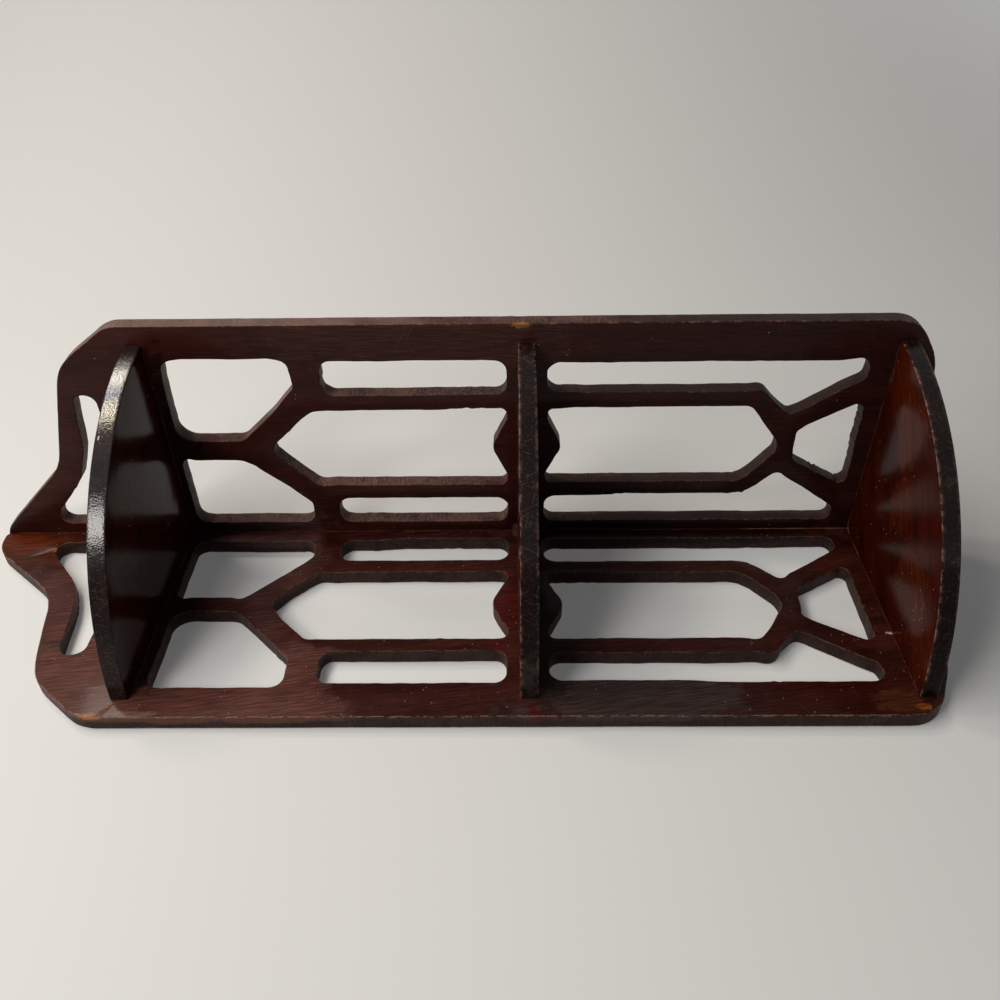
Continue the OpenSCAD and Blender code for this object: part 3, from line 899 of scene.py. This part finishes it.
def screw_recipe():
    """Slotted wood screws, one at each point, each turned at random about its own axis."""
    r = Recipe("wood_screws", Geometry=["Heads"], Float=SCREW_SIZES, Vector=["Turn"],
               Int=["Seed"], Material=["Finish"])
    g = r.given
    sides = {"Vertices": SCREW_SIDES}

    def cone(top, bottom, depth, foot):
        part = r.out("GeometryNodeMeshCone", {**sides, "Radius Top": top, "Radius Bottom": bottom,
                                              "Depth": depth}, fill_type="NONE")
        return r.moved(part, foot)

    shank_foot = r.minus(g["Point length"], g["Length"])
    head_foot = r.times(g["Head height"], -1.0)
    parts = [
        cone(g["Head radius"], g["Shank radius"], g["Head height"], head_foot),
        cone(g["Shank radius"], g["Shank radius"], r.minus(head_foot, shank_foot), shank_foot),
        cone(g["Shank radius"], 0.0, g["Point length"], r.times(g["Length"], -1.0)),
        r.out("GeometryNodeMeshCircle", {**sides, "Radius": g["Head radius"]},
              fill_type="NGON")]
    body = r.out("GeometryNodeMergeByDistance", {
        0: r.out("GeometryNodeJoinGeometry", {0: parts}), "Distance": SAME_POINT})
    slot_size = r.out("ShaderNodeCombineXYZ", {
        0: r.times(g["Head radius"], SLOT_LENGTH), 1: g["Slot width"],
        2: r.times(g["Head height"], SLOT_HEIGHT)})
    cutter = r.out("GeometryNodeMeshCube", {"Size": slot_size})
    slotted = r.out("GeometryNodeMeshBoolean", {"Mesh 1": body, "Mesh 2": cutter},
                    operation="DIFFERENCE", solver="EXACT")
    thread_line = r.out("GeometryNodeCurveSpiral", {
        "Resolution": THREAD_POINTS, "Rotations": THREAD_TURNS,
        "Start Radius": r.times(g["Shank radius"], THREAD_CORE),
        "End Radius": g["Shank radius"], "Height": r.times(g["Length"], THREAD_LENGTH)})
    wire = r.out("GeometryNodeCurvePrimitiveCircle", {"Resolution": 3, "Radius": THREAD_WIRE})
    thread = r.out("GeometryNodeCurveToMesh", {"Curve": thread_line, "Profile Curve": wire,
                                               "Fill Caps": True})
    thread = r.moved(thread, r.times(g["Length"], THREAD_FOOT))
    screw = r.out("GeometryNodeJoinGeometry", {0: [slotted, thread]})
    spin = r.put("FunctionNodeRandomValue", {2: 0.0, 3: 2 * math.pi, "Seed": g["Seed"]},
                 data_type="FLOAT").outputs[1]
    about = r.out("FunctionNodeAxisAngleToRotation", {"Angle": spin})
    stance = r.out("FunctionNodeRotateRotation", {
        0: r.out("FunctionNodeEulerToRotation", {0: g["Turn"]}), 1: about},
        rotation_space="LOCAL")
    placed = r.out("GeometryNodeInstanceOnPoints", {
        "Points": r.out("GeometryNodeMeshToPoints", {0: g["Heads"]}),
        "Instance": screw, "Rotation": stance})
    return r.finish(placed)


def bead_recipe():
    """Thin beads along lines, which swell and thin as they run."""
    r = Recipe("joint_beads", Geometry=["Lines"], Float=BEAD_SIZES, Material=["Finish"])
    g = r.given
    line = r.out("GeometryNodeMeshToCurve", {0: g["Lines"]})
    line = r.out("GeometryNodeResampleCurve", {0: line, "Length": g["Step"]}, mode="LENGTH")
    spot = r.out("GeometryNodeInputPosition", {})
    swell = r.between(r.noise(spot, BEAD_LUMPS, 3.0, 0.7), 0.35, 0.65, g["Thin"], 1.0)
    ring = r.out("GeometryNodeCurvePrimitiveCircle", {"Resolution": BEAD_SIDES, "Radius": g["Radius"]})
    bead = r.out("GeometryNodeCurveToMesh", {"Curve": line, "Profile Curve": ring, "Scale": swell,
                                             "Fill Caps": True})
    return r.finish(r.out("GeometryNodeSetShadeSmooth", {0: bead}))


def screw_heads(node, axis):
    """Middles of the screw heads of a node, on the boards' backs."""
    bm = welded(node)
    heads, waiting = [], set(bm.verts)
    while waiting:
        island, ahead = set(), [waiting.pop()]
        while ahead:
            vertex = ahead.pop()
            island.add(vertex)
            for edge in vertex.link_edges:
                other = edge.other_vert(vertex)
                if other in waiting:
                    waiting.remove(other)
                    ahead.append(other)
        low = [min(v.co[i] for v in island) for i in range(3)]
        high = [max(v.co[i] for v in island) for i in range(3)]
        middle = Vector([(a + b) / 2 for a, b in zip(low, high)])
        middle[axis] = low[axis] + HEAD_DEPTH if axis == ACROSS_X else high[axis] - HEAD_DEPTH
        heads.append(middle)
    bm.free()
    return sorted(heads, key=lambda p: (p.z, p.x, p.y))


def joint_lines():
    """Lines along the shelves' joints with the panels and up the spine."""
    x, y = INNER_X + BEAD_OFFSET, INNER_Y - BEAD_OFFSET
    points, edges = [], []

    def line(a, b):
        edges.append((len(points), len(points) + 1))
        points.extend((Vector(a), Vector(b)))

    for low, high in SHELF_BOXES.values():
        for z in (low.z - BEAD_OFFSET, high.z + BEAD_OFFSET):
            line((INNER_X + SHORT_OF_END, y, z), (high.x - SHORT_OF_END, y, z))
            line((x, INNER_Y - SHORT_OF_END, z), (x, low.y + SHORT_OF_END, z))
    line((x, y, SHORT_OF_FOOT), (x, y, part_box("left_panel")[1].z - SHORT_OF_CREST))
    return points, edges, []


# Stage, lamps and camera

SHELF_MIDDLE = (0.05, -0.07, 0.36)

# The floor's gap to the shelf, the rays let out of the gap, the floor's middle and its fade
# round this in millimetres, and its lift
FLOOR_GAP, GAP_RAYS = 0.4 * MM, 2 * MM
FLOOR_MIDDLE, FLOOR_FADE = (0.0, 200.0, 450.0), (750.0, 1250.0)
FLOOR_LIFT = 0.10


def pale_floor():
    """A plain pale floor under the lying shelf, which curves up behind it.

    It shows from its upper side only and not far from the shelf, throws no shadow, and lets
    rays out of the gap under the shelf. The camera and the gloss see it a little lifted.
    """
    level, flat_from, flat_to, sweep = WALL_X - FLOOR_GAP, -2.2, 0.22, 1.0
    profile = [(level, flat_from)]
    profile += [(level + sweep * (1 - math.cos(a)), flat_to + sweep * math.sin(a))
                for a in [math.radians(step) for step in range(0, 61, 4)]]
    bm = bmesh.new()
    foot_side, crest_side = ([bm.verts.new((x, y, z)) for x, y in profile] for z in (-1.9, 2.5))
    for (a, b), (c, d) in zip(zip(foot_side, foot_side[1:]), zip(crest_side, crest_side[1:])):
        bm.faces.new((a, b, d, c)).smooth = True
    floor = object_of("pale_floor", bm)
    w = Wiring("pale_floor_matt")
    ray = w.put("ShaderNodeLightPath", {}).outputs
    matt = w.out("ShaderNodeBsdfDiffuse", {"Color": rgb(0.69, 0.685, 0.675)})
    looked_at = w.strongest([ray["Is Camera Ray"], ray["Is Glossy Ray"]])
    lift = w.out("ShaderNodeEmission", {"Color": rgb(0.80, 0.80, 0.79),
                                        "Strength": w.times(looked_at, FLOOR_LIFT)})
    lifted = w.out("ShaderNodeAddShader", {0: matt, 1: lift})
    clear = w.out("ShaderNodeBsdfTransparent", {})
    from_below = w.put("ShaderNodeNewGeometry", {}).outputs["Backfacing"]
    from_gap = w.maths("LESS_THAN", ray["Ray Length"], GAP_RAYS)
    away = w.put("ShaderNodeVectorMath", {0: w.place, 1: FLOOR_MIDDLE},
                 operation="DISTANCE").outputs["Value"]
    unseen = w.strongest([w.between(away, *FLOOR_FADE), from_below, ray["Is Shadow Ray"], from_gap])
    both = w.out("ShaderNodeMixShader", {0: unseen, 1: lifted, 2: clear})
    floor.data.materials.append(w.finish(both))


def light_object(name, data, towards):
    """A light that looks along a direction."""
    light = new_object(name, data)
    light.rotation_mode = "QUATERNION"
    light.rotation_quaternion = towards.to_track_quat("-Z", "Y")
    return light


def lamp(name, place, side, watts, colour, shines=True):
    """A square lamp that looks at the middle of the shelf."""
    data = bpy.data.lights.new(name, "AREA")
    data.shape, data.size = "SQUARE", side
    data.energy, data.color = watts, colour
    light = light_object(name, data, Vector(SHELF_MIDDLE) - Vector(place))
    light.location = place
    light.visible_glossy = shines


def back_light(name, towards, strength):
    """An even light on the backs alone: it runs level with the fronts and makes no gloss."""
    data = bpy.data.lights.new(name, "SUN")
    data.energy, data.angle = strength, math.radians(8)
    light_object(name, data, Vector(towards)).visible_glossy = False


def photo_camera():
    """The camera stands in front of the lying shelf and looks down into its corner."""
    data = bpy.data.cameras.new("camera")
    data.sensor_width, data.lens = 36.0, 33.623
    data.clip_start, data.clip_end = 0.05, 20.0
    camera = new_object("camera", data)
    camera.location = (0.43692, -0.50367, 0.25918)
    camera.rotation_mode = "QUATERNION"
    camera.rotation_quaternion = Quaternion((0.633213, 0.304332, 0.643261, -0.304366))
    bpy.context.scene.camera = camera


def pale_room():
    """A pale room round the stage that adds little light of its own."""
    world = bpy.data.worlds.new("pale_room")
    world.use_nodes = True
    room = Bench(world.node_tree)
    room.tree.nodes.clear()
    ray = room.put("ShaderNodeLightPath", {}).outputs
    seen = room.strongest([ray["Is Glossy Ray"], ray["Is Transmission Ray"], ray["Is Camera Ray"]])
    faint = room.out("ShaderNodeBackground", {0: rgb(0.92, 0.95, 1.0), 1: 0.07})
    shown = room.out("ShaderNodeBackground", {0: rgb(0.80, 0.80, 0.80), 1: 0.58})
    both = room.out("ShaderNodeMixShader", {0: seen, 1: faint, 2: shown})
    room.put("ShaderNodeOutputWorld", {0: both})
    bpy.context.scene.world = world


# The shelf's pieces

def fit(piece, node):
    """Lets a piece ride with the shelf in place of the frame's node."""
    if node:
        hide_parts(node)
    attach(piece, "root")


def dress(piece, node, materials):
    """Gives a board the materials of its faces and of its edges, and fits it."""
    for material in materials:
        piece.data.materials.append(material)
    piece.data.set_sharp_from_angle(angle=BOARD_CREASE)
    fit(piece, node)


left_face = varnished_mahogany(
    "left_panel_varnished_mahogany", SLANTED, ACROSS_X,
    ((0.021, 0.0034, 0.0022), (0.046, 0.0088, 0.0056), (0.086, 0.025, 0.017)), LEFT_MARKS,
    coat=0.08, gloss=0.08, worn=(0.42, 0.58), worn_tone=rgb(0.28, 0.18, 0.15))
right_face = varnished_mahogany(
    "right_panel_varnished_mahogany", UPRIGHT, ACROSS_Y,
    ((0.022, 0.0038, 0.0023), (0.045, 0.0086, 0.0052), (0.074, 0.018, 0.0115)), RIGHT_MARKS,
    coat=0.10, gloss=0.10, dull=0.42, dust=0.05)
glossy_face = varnished_mahogany(
    "top_shelf_varnished_mahogany", ALONG_CHORD, ACROSS_Y,
    ((0.016, 0.0018, 0.0007), (0.036, 0.0038, 0.0011), (0.054, 0.0066, 0.0018)), SHELF_MARKS,
    coat=0.36, gloss=0.0, coat_roughness=0.17, worn=(0.5, 0.7))
satin_face = varnished_mahogany(
    "lower_shelves_varnished_mahogany", ALONG_CHORD, ACROSS_Y,
    ((0.018, 0.0018, 0.0006), (0.042, 0.0042, 0.0011), (0.059, 0.0074, 0.0018)),
    SHELF_MARKS + SHELF_PAINTED_LIGHT, coat=0.36, gloss=0.0, coat_roughness=0.2, dust=0.26,
    worn=(0.42, 0.6), worn_tone=rgb(0.30, 0.17, 0.13))
# The sawn edges are one wood: the right panel's tones are much paler than the left's as painted light
# on edges that face up towards the lamps, and the left's are darker as painted shade.
left_sawn = sawn_mahogany(
    "left_panel_sawn_edge", ACROSS_X,
    ((0.014, 0.0052, 0.0038), (0.038, 0.0175, 0.0135), (0.080, 0.044, 0.035)), LEFT_MARKS)
right_sawn = sawn_mahogany(
    "right_panel_sawn_edge", ACROSS_Y,
    ((0.024, 0.009, 0.0066), (0.105, 0.050, 0.038), (0.26, 0.155, 0.128)),
    RIGHT_MARKS + RIGHT_EDGE_PAINTED_LIGHT_AND_SHADE)
top_bow = pitted_varnish_edge(
    "top_shelf_bowed_edge",
    ((0.007, 0.003, 0.0025), (0.016, 0.007, 0.0055), (0.16, 0.12, 0.11)),
    coat=0.85, worn_from=0.6)
low_bow = pitted_varnish_edge(
    "lower_shelves_bowed_edge",
    ((0.004, 0.0014, 0.001), (0.009, 0.0034, 0.0025), (0.13, 0.088, 0.075)),
    coat=0.24, worn_from=0.44)

dress(board("left_fret_panel", "left_panel", ACROSS_X, INNER_X, WALL_X, PANEL_ARRIS,
            wander=1.0, seed=5.0, strays=LEFT_STRAYS),
      "left_panel", (left_face, left_sawn))
dress(board("right_fret_panel", "right_panel", ACROSS_Y, INNER_Y, WALL_Y, PANEL_ARRIS,
            wander=1.0, seed=41.0, strays=RIGHT_STRAYS),
      "right_panel", (right_face, right_sawn))
for level, (low, high) in SHELF_BOXES.items():
    dress(board(level + "_quarter_shelf", level + "_shelf", ACROSS_Z, high.z, low.z, SHELF_ARRIS,
                wander=0.25, seed=77.0 + high.z * 100, step=SHELF_STEP),
          level + "_shelf",
          (glossy_face, top_bow) if level == "top" else (satin_face, low_bow))

steel = screw_metal()
screws = screw_recipe()
for node, axis, turn, seed in (("left_shelf_screws", ACROSS_X, INTO_LEFT, 4),
                               ("right_shelf_screws", ACROSS_Y, INTO_RIGHT, 9),
                               ("spine_screws", ACROSS_Y, INTO_RIGHT, 15)):
    fit(screws.make(node.replace("screws", "wood_screws"), (screw_heads(node, axis), [], []),
                    {**SCREW_SIZES, "Turn": turn, "Seed": seed, "Finish": steel}),
        node)

beads = bead_recipe().make("joint_glue_beads", joint_lines(),
                           {**BEAD_SIZES, "Finish": glue_bead_finish()})
fit(beads, None)

pale_floor()
lamp("upper_left_window", (1.12, 0.31, 0.98), 0.12, 0.5, (0.60, 0.66, 1.0))
lamp("far_left_bulb", (1.07, 0.49, 0.98), 0.21, 3.1, (1.0, 0.92, 0.78))
lamp("near_left_bulb", (1.17, 0.14, 0.98), 0.19, 3.1, (1.0, 0.88, 0.66))
lamp("front_left_softbox", (0.90, -0.90, 1.00), 0.33, 4.7, (1.0, 0.97, 0.91))
lamp("overhead_left_panel", (1.18, -0.36, 0.98), 0.7, 8.0, (1.0, 0.99, 0.97), shines=False)
back_light("left_back_light", (1.0, 0.0, 0.0), 1.8)
back_light("right_back_light", (0.0, -1.0, 0.0), 1.4)
photo_camera()
pale_room()
bpy.context.scene.view_settings.view_transform = "Standard"
